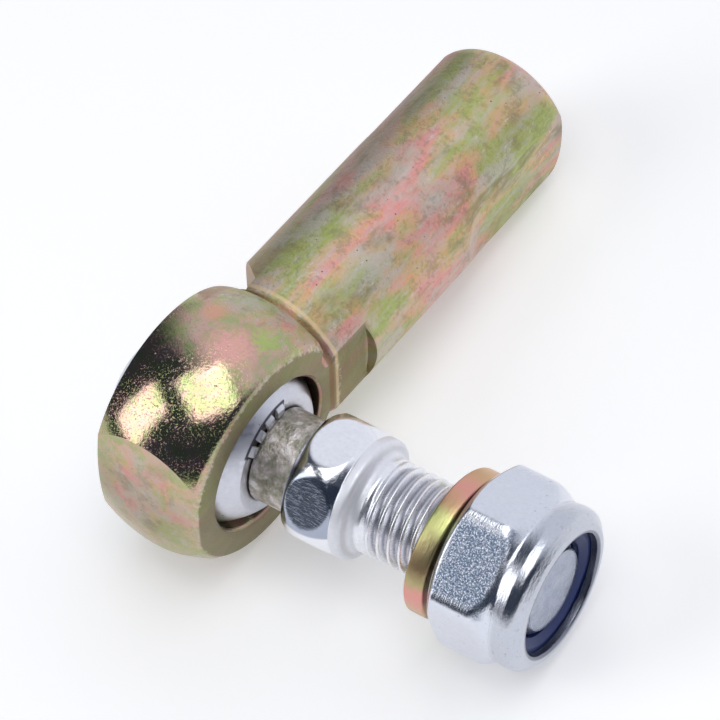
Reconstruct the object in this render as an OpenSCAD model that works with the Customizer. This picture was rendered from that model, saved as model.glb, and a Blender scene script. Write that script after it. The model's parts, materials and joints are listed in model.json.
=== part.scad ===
// Ball joint: a ball stud held in a turned head on a shank with a female thread, with its lock nut
// and spring washer. The pieces are drawn about the centre of the ball, +X along the shank, -Y
// along the bore that the stud leaves by, +Z up. The joint is then laid on its head, shank end and
// nut, so that it rests on z = 0.

/* [Ball] */
// Diameter of the ball
ball_d = 20; // [19.6:0.1:20.4]
// Running gap between the ball and its seats, all round
ball_gap = 0.05; // [0.03:0.01:0.1]
// Flat on the ball round the neck, out from the ball's centre
ball_flat_out = 7.75; // [7.5:0.05:7.9]
// Number of tabs staked up from the flat, in each of two opposite groups
tab_count = 4; // [2:1:6]
// Angle from one tab to the next
tab_pitch = 17; // [16:1:24]
// Angle at which the groups start
tab_turn = 80; // [0:5:175]
// Width of a tab
tab_w = 1.1; // [0.8:0.1:1.2]
// Height of a tab over the flat
tab_h = 0.35; // [0.2:0.05:0.5]
// Gap between the tabs and the neck
tab_gap = 0.1; // [0.05:0.01:0.1]

/* [Head] */
// Diameter of the ball-shaped head
head_d = 26.8; // [26:0.1:28]
// Centre of the head, off the ball's centre towards the stud
head_shift = 0.4; // [0:0.1:0.8]
// Front face, out from the ball's centre
front_out = 7.1; // [6.8:0.1:7.6]
// Bevel round the front face
front_bevel = 0.3; // [0.1:0.1:0.5]
// Diameter of the opening round the neck
opening_d = 16.8; // [16.4:0.1:17.2]
// Bevel on the opening's rim
opening_bevel = 0.35; // [0.2:0.05:0.5]
// Floor of the recess turned into the shank behind the head, out from the ball's centre
back_out = 3.5; // [3.2:0.1:3.8]
// Blunt crown opposite the shank, out from the ball's centre
crown_out = 11.8; // [11.4:0.1:12.4]
// Radius of the domed crown
crown_round = 34; // [26:1:60]

/* [Shank] */
// Diameter of the shank
shank_d = 16.5; // [15.8:0.1:17]
// End of the shank, out from the ball's centre
shank_end = 50.7; // [46:0.5:60]
// Rounding of the shank's end
shank_round = 2.3; // [1.6:0.1:2.4]
// Size across the wrench flats
flats_af = 13.5; // [13.4:0.1:14.6]
// Length of the wrench flats
flats_l = 14; // [10:0.5:16]
// Radius of the cutter that runs out at the flats' inner end
flats_runout_r = 8; // [6:0.5:14]
// Bore for the female thread
tap_d = 8.8; // [8.4:0.1:9.4]
// Depth of the threaded bore
tap_l = 24; // [16:0.5:28]
// Countersink at the thread's mouth, across its rim
tap_mouth_d = 11; // [10.4:0.1:12]
// Diameter of the round tool that turned the groove between the head and the shank
groove_d = 2.4; // [1.6:0.1:3]
// Depth of that groove below the shank
groove_depth = 0.35; // [0.2:0.05:0.6]
// Radius, about the bore, of the recess that the back face cuts into the shank
scallop_r = 14.2; // [13.8:0.1:15]
// Slant of that recess's wall, outwards for its whole height
scallop_flare = 2.2; // [1:0.1:3]
// Radius, about the bore, of the front face's step on the shank
facing_r = 16.2; // [15.6:0.1:17]

/* [Retaining ring] */
// Outer diameter of the ring that is rolled in behind the ball
ring_d = 22.4; // [22:0.1:22.6]
// Inner end of the ring, behind the ball's centre
ring_in = 0.5; // [0.3:0.1:1]
// Inner edge of the ring's sloping back face, behind the ball's centre
ring_out = 5.9; // [5.6:0.1:6.2]
// Outer edge of that face, level with the head's rolled rim
ring_edge_out = 5.2; // [4.9:0.1:5.3]
// Width of the 45 degree bevel round the ring's back edge
ring_bevel = 0.4; // [0.3:0.1:0.7]
// Width of the flat land round the ring's mouth
ring_land = 0.2; // [0.1:0.1:0.4]
// Gap between the ring and the head
ring_gap = 0.05; // [0.03:0.01:0.08]

/* [Stud] */
// Diameter of the neck
neck_d = 9.9; // [9.4:0.1:10.1]
// Diameter of the tail inside the ball
tail_d = 8; // [6:0.1:8.4]
// Length of the tail past the ball's centre
tail_l = 4; // [1:0.5:5]
// Back of the hexagon, out from the ball's centre
hex_out = 12.5; // [12.2:0.1:13]
// Size across the hexagon's flats
hex_af = 13; // [12.7:0.1:13.3]
// Length of the barrelled hexagon
hex_l = 5.5; // [5:0.1:6]
// Crown of the barrel that rounds the hexagon's corners off
hex_barrel_r = 4.7; // [4.4:0.1:5.2]
// Diameter over the rounded corners
hex_corner_d = 14.3; // [13.9:0.1:14.5]
// Diameter of the round shoulder in front of the hexagon
shoulder_d = 12.8; // [12.2:0.1:13]
// Length of that shoulder
shoulder_l = 1.3; // [1:0.1:1.8]
// Fillet between the shoulder and the thread
shoulder_fillet = 0.9; // [0.5:0.1:1.2]
// Diameter of the thread
thread_d = 10; // [9.6:0.1:10.2]
// End of the stud, out from the ball's centre
stud_end = 39.6; // [38:0.1:40]
// Chamfer on the stud's end
stud_chamfer = 0.8; // [0.5:0.1:1]
// Sideways lean of the stud at rest, towards the shank
stud_swing = 2.7; // [-4:0.1:4]
// Upward lean of the stud at rest
stud_lift = 2.6; // [-3:0.1:4]
// Turn of the stud's hexagon at rest
hex_turn = 1; // [-30:1:30]

/* [Lock nut] */
// Bearing face of the nut, out from the ball's centre
nut_out = 30.6; // [28:0.1:31]
// Height of the nut
nut_h = 10; // [9.6:0.1:10.6]
// Size across the nut's flats
nut_af = 17; // [16.7:0.1:17.3]
// Height of the hexagonal part
nut_hex_h = 7; // [6.6:0.1:7.4]
// Drop of the crowned corners at the hexagon's collar end
nut_crown = 2; // [1.6:0.1:2.6]
// Diameter of the bearing face, inside its chamfer
nut_face_d = 16.2; // [15.6:0.1:16.6]
// Diameter of the round collar
collar_d = 17.2; // [16.6:0.1:17.4]
// Rounding of the collar's outer edge
collar_round = 1.3; // [1:0.1:1.7]
// Diameter inside the collar's lip
lip_d = 12.8; // [12.4:0.1:13.2]
// Gap between the nut's bore and the thread, all round
thread_gap = 0.06; // [0.03:0.01:0.1]
// Turn of the nut at rest
nut_turn = 40; // [0:1:60]

/* [Nylon insert] */
// Thickness of the insert
insert_h = 2; // [1.6:0.1:2.2]
// Diameter of the insert
insert_d = 13.6; // [13.4:0.1:14]
// Depth of the insert below the collar's lip
insert_in = 0.9; // [0.6:0.1:1.1]

/* [Spring washer] */
// Outer diameter of the washer
washer_d = 15.6; // [14.8:0.1:16.4]
// Inner diameter of the washer
washer_bore = 10.3; // [10.3:0.05:10.8]
// Thickness of the washer's wire
washer_t = 2.2; // [1.8:0.1:2.4]
// How far the cut ends stand apart along the stud
washer_rise = 1.8; // [1:0.1:2.2]
// Width of the cut, in degrees of the ring
washer_cut = 14; // [10:1:20]
// Turn of the cut at rest
washer_turn = 5; // [0:5:355]
// Gap between the washer and the nut
washer_gap = 0.05; // [0.03:0.01:0.1]

/* [Hidden] */
$fn = 96;
// Overrun of a cutting shape past the solid that it cuts
over = 1;
yellow_zinc = [0.66, 0.63, 0.38];
bright_zinc = [0.8, 0.81, 0.86];
nylon_blue = [0.03, 0.06, 0.18];

ball_r = ball_d / 2;
seat_r = ball_r + ball_gap;
head_r = head_d / 2;
head_c = [0, -head_shift, 0];
crown_c = head_c + [crown_round - crown_out, 0, 0];
shank_r = shank_d / 2;
shank_root = sqrt(head_r * head_r - shank_r * shank_r);
ring_r = ring_d / 2;
neck_r = neck_d / 2;
neck_out = ball_flat_out + ball_gap;
tail_r = tail_d / 2;
shoulder_out = hex_out + hex_l;
thread_out = shoulder_out + shoulder_l;
thread_r = thread_d / 2;
nut_bore_r = thread_r + thread_gap;
nut_end = nut_out + nut_h;
nut_hex_end = nut_out + nut_hex_h;
nut_corner_r = nut_af / sqrt(3);
collar_r = collar_d / 2;
insert_out = nut_end - insert_in;

// Directions of the shank and of the resting stud, with the two square to the stud
shank_dir = [1, 0, 0];
stud_dir = [sin(stud_swing) * cos(stud_lift), -cos(stud_swing) * cos(stud_lift), sin(stud_lift)];
stud_right = [cos(stud_swing), sin(stud_swing), 0];
stud_above = [-sin(stud_swing) * sin(stud_lift), cos(stud_swing) * sin(stud_lift), cos(stud_lift)];

function unit(v) = v / norm(v);
function across_part(v, axis) = v - (v * axis) * axis;

// Furthest place, towards d, of a disc about c whose edge of radius r is rounded by e
function disc_far(c, axis, r, e, d) =
    c - e * axis + (r - e) * unit(across_part(d, axis)) + e * d;

// Outer corner of the nut's hexagon at an angle round the stud, and the corner furthest towards d
function nut_corner(turn) =
    (nut_hex_end - nut_crown) * stud_dir + nut_corner_r * (cos(turn) * stud_right + sin(turn) * stud_above);
function nut_far(d) =
    let(corners = [for (k = [0 : 5]) nut_corner(nut_turn + 60 * k)], reach = max([for (c = corners) c * d]))
    [for (c = corners) if (c * d == reach) c][0];

// The three places that meet the ground when down is d, and down when they all meet it
function feet(d) = [
    head_c + head_r * d,
    disc_far(shank_end * shank_dir, shank_dir, shank_r, shank_round, d),
    nut_far(d),
];
function below(n) = n[2] > 0 ? -n : n;
function plane_down(p) = below(unit(cross(p[1] - p[0], p[2] - p[0])));
function settled(d, tries) = tries == 0 ? d : settled(plane_down(feet(d)), tries - 1);

down = settled([0, 0, -1], 12);
up = -down;
along = unit(across_part(shank_dir, up));
across = cross(up, along);

// Reach of the laid joint from the ball's centre: down, to each end of the shank and to each side
reach_down = feet(down)[0] * down;
reach_shank = disc_far(shank_end * shank_dir, shank_dir, shank_r, shank_round, along) * along;
reach_crown = crown_c * along - crown_round;
reach_stud = disc_far(nut_end * stud_dir, stud_dir, collar_r, collar_round, -across) * across;
reach_back = ball_r;
mid_along = (reach_shank + reach_crown) / 2;
mid_across = (reach_stud + reach_back) / 2;

// Lays what is drawn about the ball's centre on the ground, with its box's middle over the origin
module laid() {
    translate([-mid_along, -mid_across, reach_down])
        rotate([atan2(up[1], up[2]), -asin(up[0]), 0])
        children();
}

// Turn a profile drawn as [radius, distance out] round the head's bore, the shank or the stud
module about_front() rotate([90, 0, 0]) children();
module about_back() rotate([-90, 0, 0]) children();
module about_shank() rotate([0, 90, 0]) children();
module about_stud() rotate([-stud_lift, 0, stud_swing]) rotate([90, 0, 0]) children();

// A round edge of radius e on the corner at [r, z] of a revolved square that ends at z
module round_end(r, z0, z, e) {
    translate([0, z0]) square([r - e, z - z0]);
    translate([0, z0]) square([r, z - z0 - e]);
    translate([r - e, z - e]) circle(r = e);
}

module shank_blank() {
    about_shank() rotate_extrude() intersection() {
        round_end(shank_r, 0, shank_end, shank_round);
        square([shank_r, shank_end]);
    }
}

// Crisp groove that the head's turning tool leaves against the shank
module groove() {
    tool_r = groove_d / 2;
    about_shank() rotate_extrude()
        translate([shank_r - groove_depth + tool_r, shank_root - tool_r / 2]) circle(r = tool_r);
}

// What the cutter takes off for the wrench flat on one side, with its run-out at the inner end
module wrench_flat() {
    wide = 2 * (shank_r + over);
    translate([shank_end - flats_l, flats_af / 2, -wide / 2]) cube([flats_l + over, shank_r, wide]);
    translate([shank_end - flats_l, flats_af / 2 + flats_runout_r, 0])
        cylinder(h = wide, r = flats_runout_r, center = true);
}

// Threaded bore with its countersink and drill point
module tapping() {
    about_shank() rotate_extrude() polygon([
        [0, shank_end - tap_l - tap_d / 4],
        [tap_d / 2, shank_end - tap_l],
        [tap_d / 2, shank_end - (tap_mouth_d - tap_d) / 2],
        [tap_mouth_d / 2 + over, shank_end + over],
        [0, shank_end + over],
    ]);
}

// What facing the front takes off: the head's cap, and the shank up to a curved step
module front_facing() {
    about_front() translate([0, 0, front_out]) cylinder(h = head_r, r = facing_r);
}

// What turning the back takes off: all that stands past the rolled rim, and the recess in the shank
module back_turning() {
    wall_h = shank_r - back_out;
    about_back() rotate_extrude() difference() {
        polygon([
            [0, back_out],
            [scallop_r, back_out],
            [scallop_r + scallop_flare, back_out + wall_h],
            [scallop_r + scallop_flare, back_out + head_r],
            [0, back_out + head_r],
        ]);
        intersection() {
            translate([0, -head_shift]) circle(r = head_r);
            square([head_r, ring_edge_out]);
        }
    }
}

// Space in the head: opening, ball seat, and the counterbore and bevel that hold the ring
module socket() {
    sphere(r = seat_r);
    about_front() rotate_extrude() polygon([
        [0, 0],
        [opening_d / 2, 0],
        [opening_d / 2, front_out - opening_bevel],
        [opening_d / 2 + opening_bevel + over, front_out + over],
        [0, front_out + over],
    ]);
    about_back() rotate_extrude() polygon([
        [0, ring_in - ring_gap],
        [ring_r + ring_gap, ring_in - ring_gap],
        [ring_r + ring_gap, ring_edge_out - ring_bevel],
        [ring_r + ring_gap - ring_bevel - over, ring_edge_out + over],
        [0, ring_edge_out + over],
    ]);
    about_back() cylinder(h = ring_in, r = seat_r);
}

// Bevel round the front face's rim
module front_rim() {
    rim_out = front_out - head_shift;
    rim_r = sqrt(head_r * head_r - rim_out * rim_out);
    about_front() rotate_extrude() polygon([
        [rim_r - front_bevel, front_out],
        [rim_r + head_r, front_out - front_bevel - head_r],
        [rim_r + head_r, front_out],
    ]);
}

// What the domed crown opposite the shank leaves off the head
module crown_facing() {
    difference() {
        translate([-head_r - over, -head_r - over, -head_r - over])
            cube([head_r, 2 * (head_r + over), 2 * (head_r + over)]);
        translate(crown_c) sphere(r = crown_round);
    }
}

// Head and shank, turned and bored from one forging
module housing() {
    color(yellow_zinc) laid() difference() {
        union() {
            difference() {
                translate(head_c) sphere(r = head_r);
                front_rim();
            }
            shank_blank();
        }
        back_turning();
        groove();
        front_facing();
        wrench_flat();
        mirror([0, 1, 0]) wrench_flat();
        crown_facing();
        socket();
        tapping();
    }
}

// Ring that closes the socket behind the ball
module retaining_ring() {
    color(bright_zinc) laid() difference() {
        about_back() rotate_extrude() polygon([
            [0, ring_in],
            [ring_r, ring_in],
            [ring_r, ring_edge_out - ring_bevel],
            [ring_r - ring_bevel, ring_edge_out],
            [sqrt(seat_r * seat_r - ring_out * ring_out) + ring_land, ring_out],
            [0, ring_out],
        ]);
        sphere(r = seat_r);
    }
}

// Ball, bored for the stud's tail, with a flat round the neck and tabs staked up from it
module ball() {
    color(bright_zinc) laid() about_stud() {
        rotate_extrude() difference() {
            intersection() {
                circle(r = ball_r);
                translate([0, -ball_r]) square([ball_r, ball_r + ball_flat_out]);
            }
            translate([-over, -tail_l - ball_gap]) square([tail_r + ball_gap + over, tail_l + 2 * ball_r]);
        }
        intersection() {
            sphere(r = ball_r);
            union() {
                for (side = [0, 180]) for (i = [0 : tab_count - 1]) staked_tab(side + tab_turn + i * tab_pitch);
            }
        }
    }
}

// One staked tab, at an angle round the stud
module staked_tab(turn) {
    rotate([0, 0, turn]) translate([neck_r + tab_gap, -tab_w / 2, ball_flat_out - over])
        cube([ball_r, tab_w, over + tab_h]);
}

// Stud from its tail in the ball to its threaded end
module stud() {
    barrel_z = hex_out + hex_l / 2;
    color(bright_zinc) laid() about_stud() {
        translate([0, 0, -tail_l]) cylinder(h = tail_l + ball_r, r = tail_r);
        translate([0, 0, neck_out]) cylinder(h = barrel_z - neck_out, r = neck_r);
        intersection() {
            rotate([0, 0, hex_turn]) translate([0, 0, hex_out])
                cylinder(h = hex_l + over, r = hex_af / sqrt(3), $fn = 6);
            rotate_extrude() intersection() {
                translate([hex_corner_d / 2 - hex_barrel_r, barrel_z]) circle(r = hex_barrel_r);
                translate([0, hex_out]) square([hex_corner_d, hex_l]);
            }
        }
        rotate_extrude() stud_front();
    }
}

// Profile of the shoulder, its fillet and the thread
module stud_front() {
    edge_r = shoulder_l / 2;
    translate([shoulder_d / 2 - edge_r, shoulder_out + edge_r]) circle(r = edge_r);
    translate([0, shoulder_out]) square([shoulder_d / 2 - edge_r, shoulder_l]);
    difference() {
        translate([0, thread_out]) square([thread_r + shoulder_fillet, shoulder_fillet]);
        translate([thread_r + shoulder_fillet, thread_out + shoulder_fillet]) circle(r = shoulder_fillet);
    }
    polygon([
        [0, barrel_end()],
        [thread_r, barrel_end()],
        [thread_r, stud_end - stud_chamfer],
        [thread_r - stud_chamfer, stud_end],
        [0, stud_end],
    ]);
}
function barrel_end() = shoulder_out - over;

// Spring washer: one turn of flat wire whose cut ends stand apart
washer_steps = 72;
washer_edge = 0.25;
washer_profile = let(a = washer_bore / 2, b = washer_d / 2, e = washer_edge, t = washer_t) [
    [a + e, 0], [b - e, 0], [b, e], [b, t - e], [b - e, t], [a + e, t], [a, t - e], [a, e],
];
function washer_point(step, p) =
    let(part = step / washer_steps, turn = washer_turn + washer_cut + part * (360 - washer_cut))
    [p[0] * cos(turn), p[0] * sin(turn), p[1] - part * washer_rise];
module spring_washer() {
    count = len(washer_profile);
    points = [for (i = [0 : washer_steps]) for (p = washer_profile) washer_point(i, p)];
    sides = [
        for (i = [0 : washer_steps - 1]) for (k = [0 : count - 1])
            let(next = (k + 1) % count)
            [i * count + k, i * count + next, (i + 1) * count + next, (i + 1) * count + k]
    ];
    first = [for (k = [count - 1 : -1 : 0]) k];
    last = [for (k = [0 : count - 1]) washer_steps * count + k];
    color(yellow_zinc) laid() about_stud()
        translate([0, 0, nut_out - washer_gap - washer_t])
        polyhedron(points, concat(sides, [first], [last]));
}

// Profile of the nut's chamfered hexagon and crimped collar
module nut_profile() {
    chamfer = nut_corner_r - nut_face_d / 2;
    crown_slope = (nut_crown + collar_round) / (nut_corner_r - collar_r + collar_round);
    intersection() {
        translate([0, nut_out]) square([nut_corner_r + over, nut_hex_h]);
        polygon([
            [0, nut_out],
            [nut_face_d / 2, nut_out],
            [nut_corner_r + over, nut_out + (chamfer + over) * tan(30)],
            [nut_corner_r + over, nut_hex_end - nut_crown - over * crown_slope],
            [collar_r - collar_round, nut_hex_end + collar_round],
            [0, nut_hex_end + collar_round],
        ]);
    }
}

// Lock nut: hexagon and collar in one, with a seat for the insert under the collar's lip
module lock_nut() {
    color(bright_zinc) laid() about_stud() difference() {
        union() {
            intersection() {
                translate([0, 0, nut_out]) rotate([0, 0, nut_turn])
                    cylinder(h = nut_hex_h, r = nut_corner_r, $fn = 6);
                rotate_extrude() nut_profile();
            }
            rotate_extrude() intersection() {
                round_end(collar_r, nut_out + nut_hex_h / 2, nut_end, collar_round);
                translate([0, nut_out]) square([collar_r, nut_h]);
            }
        }
        rotate_extrude() nut_bore();
    }
}

// Space in the nut: countersunk thread, insert seat and the mouth inside the lip
module nut_bore() {
    polygon([
        [0, nut_out - over],
        [nut_bore_r + over, nut_out - over],
        [nut_bore_r, nut_out],
        [nut_bore_r, insert_out - insert_h],
        [insert_d / 2, insert_out - insert_h],
        [insert_d / 2, insert_out],
        [lip_d / 2, insert_out],
        [lip_d / 2, nut_end + over],
        [0, nut_end + over],
    ]);
}

// Nylon ring that grips the thread
module nylon_insert() {
    inner_r = nut_bore_r;
    outer_r = insert_d / 2;
    dish_r = (inner_r + outer_r) / 2;
    color(nylon_blue) laid() about_stud() rotate_extrude() polygon([
        [inner_r, insert_out - insert_h],
        [outer_r, insert_out - insert_h],
        [outer_r, insert_out],
        [dish_r, insert_out],
        [inner_r, insert_out - insert_h / 4],
    ]);
}

housing();
retaining_ring();
ball();
stud();
spring_washer();
lock_nut();
nylon_insert();
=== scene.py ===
import json
import math

import bmesh
import bpy
import numpy as np
from bpy.props import FloatProperty, FloatVectorProperty, PointerProperty
from mathutils import Matrix, Vector


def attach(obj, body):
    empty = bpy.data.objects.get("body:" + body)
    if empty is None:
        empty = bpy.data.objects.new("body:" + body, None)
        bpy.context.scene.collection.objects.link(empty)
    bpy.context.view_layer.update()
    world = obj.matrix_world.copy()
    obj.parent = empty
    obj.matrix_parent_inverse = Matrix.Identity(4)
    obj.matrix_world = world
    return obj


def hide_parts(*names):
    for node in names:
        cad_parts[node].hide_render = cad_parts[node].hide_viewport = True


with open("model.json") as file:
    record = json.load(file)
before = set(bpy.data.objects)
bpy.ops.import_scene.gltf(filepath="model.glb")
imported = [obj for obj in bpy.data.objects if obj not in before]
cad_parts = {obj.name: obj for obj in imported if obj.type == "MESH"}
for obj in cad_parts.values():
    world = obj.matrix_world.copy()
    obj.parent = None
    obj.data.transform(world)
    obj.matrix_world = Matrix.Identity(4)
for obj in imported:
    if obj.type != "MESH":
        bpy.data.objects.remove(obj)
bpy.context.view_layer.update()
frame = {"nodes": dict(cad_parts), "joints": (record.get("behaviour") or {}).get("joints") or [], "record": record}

bl_info = {
    "name": "Ball joint",
    "version": (1, 0, 0),
    "blender": (4, 5, 0),
    "location": "View3D > Sidebar > Ball joint",
    "description": "Dresses the packed ball joint and sets its studio",
    "category": "Object",
}

MM = 0.001
FULL_TURN = 2 * math.pi

# Axes of the joint, all through the ball's centre
JOINTS = {joint["name"]: joint for joint in frame["joints"]}
MOUNTS = {mount["name"]: mount for mount in frame["record"]["mounts"]}
CENTRE = np.array(JOINTS["swing_direction"]["pos_m"])


def unit(vector):
    """The vector divided by its length."""
    vector = np.asarray(vector, float)
    return vector / np.linalg.norm(vector)


SHANK = unit(MOUNTS["shank_thread"]["axis"])
FRONT = unit(JOINTS["swing_direction"]["axis"])
FRONT = unit(FRONT - (FRONT @ SHANK) * SHANK)
RISE = np.cross(FRONT, SHANK)
RISE = RISE if RISE[2] > 0 else -RISE
STUD = unit(JOINTS["stud_spin"]["axis"])
SIDE = unit(np.cross(RISE, STUD))
SIDE = SIDE if SIDE @ SHANK > 0 else -SIDE
ABOVE = np.cross(STUD, SIDE)
ABOVE = ABOVE if ABOVE @ RISE > 0 else -ABOVE

# Sizes in millimetres, from the ball's centre outwards, and angles in degrees: head, ball and tabs
BALL_R = 10.0
SEAT_R = 10.05
HEAD_R = 13.4
HEAD_SHIFT = 0.4
CROWN_OUT = 11.8
CROWN_R = 34.0
SHANK_R = 8.25
SHANK_END = 50.7
SHANK_ROUND = 2.3
TAP_R = 4.4
OPENING_R = 8.4
FACING_R = 16.2
FRONT_OUT = 7.1
BACK_OUT = 3.5
BALL_FLAT = 7.75
NECK_OUT = 7.8
TAB_COUNT = 4
TAB_PITCH = 17.0
TAB_TURN = 80.0
TAB_W = 1.1
TAB_OUT_R = 6.34

# Stud
NECK_R = 4.95
TAIL_R = 4.0
TAIL_END = -4.0
HEX_IN = 12.5
HEX_OUT = 18.0
HEX_AF = 13.0
HEX_BARREL_R = 4.7
HEX_CORNER_R = 7.15
HEX_TURN = 1.0
HEX_BLEND = 0.12
SHOULDER_R = 6.4
SHOULDER_OUT = 19.3
FILLET = 0.9
THREAD_R = 5.0
PITCH = 1.25
STUD_END = 39.6
STUD_CHAMFER = 0.8

# Rolled thread: its start, how far its crests stand inside the rod, its run-in in pitches, the shares
# of half a pitch off its root's middle at which a flank begins and ends, how much of a flank is eased,
# and the rows of points to a pitch
THREAD_START = SHOULDER_OUT + FILLET + 0.35
CREST_IN = 0.03
RUN_IN = 0.8
ROOT_END = 0.20
CREST_START = 0.86
FLANK_EASE = 0.45
THREAD_ROWS = 18

# Nut and insert
NUT_IN = 30.6
NUT_OUT = 40.6
NUT_AF = 17.0
NUT_HEX_OUT = 37.6
NUT_CROWN = 2.0
NUT_FACE_R = 8.1
NUT_FACE_SLOPE = 30.0
NUT_TURN = 40.0
NUT_BORE_R = 5.06
NUT_MOUTH = 0.8
NUT_CORNER_CUT = 0.3
NUT_CORNER_BLEND = 0.35
NUT_CROWN_BLEND = 0.5
COLLAR_R = 8.6
COLLAR_ROUND = 1.3
COLLAR_TAPER = 0.15
COLLAR_BLEND = 0.3
COLLAR_UNDERCUT = 0.25
COLLAR_RUN = 0.6
LIP_R = 6.4
INSERT_R = 6.8
INSERT_OUT = 39.7
INSERT_H = 2.0

# Washer
WASHER_IN_R = 5.15
WASHER_OUT_R = 7.8
WASHER_T = 2.2
WASHER_RISE = 1.8
WASHER_CUT = 14.0
WASHER_TURN = 5.0
WASHER_GAP = 0.05
WASHER_EDGE = 0.3

# Retaining ring
RING_R = 11.2
RING_IN = 0.5
RING_EDGE_OUT = 5.2
RING_OUT = 5.9
RING_BEVEL = 0.4
RING_LAND = 0.2

# Meshes: points closer than these merge, in metres, and a corner this close to a shape, in
# millimetres, and this square to it takes that shape's normal
GRID_MERGE = 1e-7
SLIVER = 1e-8
CAD_MERGE = 2e-7
CAD_SHARP = 28
ON_SHAPE = 0.004
FACING_SHAPE = 0.6

# Where along the shank the green is strongest, and how far on it comes back
GREEN_PLACE = 19.0
GREEN_PERIOD = 27.0

# Patches of strong colour on the head: place along the shank, the rise and the front, reach, colour
HEAD_PATCHES = [
    ((0.6, 13.2, 2.8), 3.4, (0.88, 0.45, 0.41)), ((3.6, 12.3, 4.3), 2.0, (0.44, 0.55, 0.18)),
    ((3.4, 12.8, -1.5), 1.8, (0.72, 0.38, 0.24)),
]

# Photographer's camera: its place in millimetres from the ball's centre, its right and its up, each
# along the shank, the back and the rise, and the point of the frame that it looks at, in millimetres
CAMERA_PLACE = (-189.04, -164.07, 333.07)
CAMERA_RIGHT = (0.555, -0.83, 0.045)
CAMERA_UP = (0.663, 0.475, 0.578)
AIM = (-6.5, 6.8, 13.2)

# Soft boxes: their distance, and each one's name, direction, size in metres and share of the power
LAMP_REACH = 0.6
SOFT_BOXES = [
    ("softbox_left", (-0.62, 0.53, 0.58), (0.28, 0.44), 0.413),
    ("softbox_top", (-0.12, -0.18, 0.975), (0.42, 0.42), 0.587),
]

# The studio's pale wall lies to one side and fades out between two cosines; the rest is dark
WALL_SIDE = (0.90, -0.15, 0.36)
WALL_FADE = (0.35, 0.72)
WALL_LIGHT = (0.82, 0.84, 0.90)
DARK_LIGHT = (0.045, 0.055, 0.08)

# Sines of the height above the horizon from which mirrored rays see none of the white background,
# and below which they see all of it
HORIZON_FADE = (0.07, 0.02)

# Half the floor's width in metres, and the strength of the glow that shows as background
FLOOR_REACH = 1.5
FLOOR_GLOW = 0.27


class Value:
    """A socket that adds a Math node for each operator used on it."""

    def __init__(self, paint, socket):
        self.paint = paint
        self.socket = socket

    def maths(self, operation, *values, clamp=False):
        """One Math node on the values."""
        return self.paint.node(
            "ShaderNodeMath", {"operation": operation, "use_clamp": clamp}, dict(enumerate(values)))

    def __add__(self, other):
        return self.maths("ADD", self, other)

    def __radd__(self, other):
        return self.maths("ADD", other, self)

    def __sub__(self, other):
        return self.maths("SUBTRACT", self, other)

    def __rsub__(self, other):
        return self.maths("SUBTRACT", other, self)

    def __mul__(self, other):
        return self.maths("MULTIPLY", self, other)

    def __rmul__(self, other):
        return self.maths("MULTIPLY", other, self)

    def __truediv__(self, other):
        return self.maths("DIVIDE", self, other)

    def __rtruediv__(self, other):
        return self.maths("DIVIDE", other, self)

    def __pow__(self, other):
        return self.maths("POWER", self, other)

    def __rpow__(self, other):
        return self.maths("POWER", other, self)

    def clamp(self):
        """Held between 0 and 1."""
        return self.maths("ADD", self, 0.0, clamp=True)

    def most(self, other):
        """The larger of the two."""
        return self.maths("MAXIMUM", self, other)

    def absolute(self):
        """Without its sign."""
        return self.maths("ABSOLUTE", self)

    def mod(self, length):
        """What is left over after whole lengths, never below 0."""
        return self.maths("FLOORED_MODULO", self, length)

    def cosine(self):
        """Cosine of an angle in radians."""
        return self.maths("COSINE", self)

    def turn(self, across):
        """Angle in radians from the across direction towards this one."""
        return self.maths("ARCTAN2", self, across)


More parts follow.
